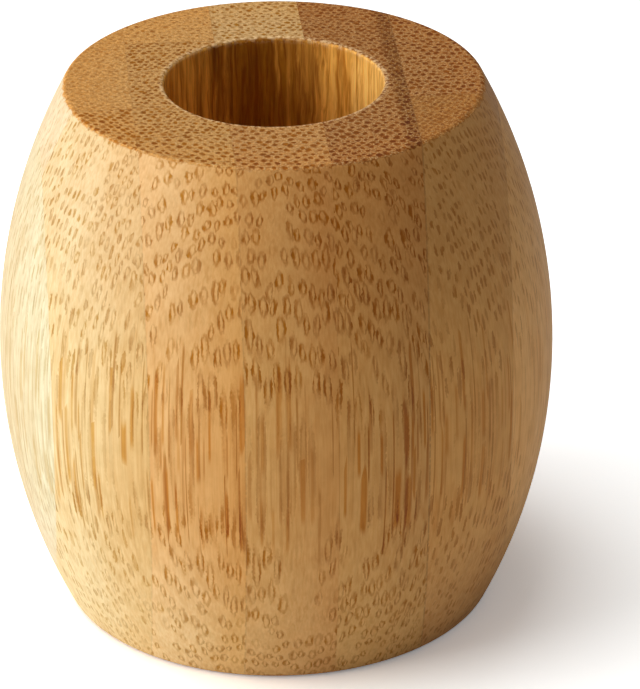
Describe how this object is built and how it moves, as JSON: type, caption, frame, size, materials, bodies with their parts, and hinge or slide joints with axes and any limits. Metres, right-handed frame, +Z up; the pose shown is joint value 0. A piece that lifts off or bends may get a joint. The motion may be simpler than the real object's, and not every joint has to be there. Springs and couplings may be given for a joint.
{
  "type": "toothbrush holder",
  "caption": "Barrel-shaped bamboo toothbrush stand, turned from a block of glued strips, with a deep blind hole in its flat top for one upright brush.",
  "frame": {"origin": "centre of the flat underside, on the surface that the holder stands on", "axes": "+Z up along the axis of the barrel and its hole; -Y towards the viewer of the picture; +X to the viewer's right"},
  "size_m": [0.0606, 0.0606, 0.06],
  "materials": {
    "pale_strip": "matte",
    "golden_strip": "matte",
    "tan_strip": "matte",
    "brown_strip": "matte"
  },
  "bodies": {
    "root": {"left_cap_front": "pale_strip", "left_cap_back": "golden_strip", "left_outer_front": "pale_strip", "left_outer_middle": "pale_strip", "left_outer_back": "golden_strip", "left_inner_front": "golden_strip", "left_inner_middle": "pale_strip", "left_inner_back": "golden_strip", "centre_front": "golden_strip", "centre_middle_front": "golden_strip", "centre_middle_back": "tan_strip", "centre_back": "tan_strip", "right_inner_front": "tan_strip", "right_inner_middle_front": "tan_strip", "right_inner_middle_back": "brown_strip", "right_inner_back": "tan_strip", "right_outer_front": "tan_strip", "right_outer_middle": "brown_strip", "right_outer_back": "tan_strip", "right_cap_front": "golden_strip", "right_cap_back": "tan_strip"}
  },
  "joints": []
}
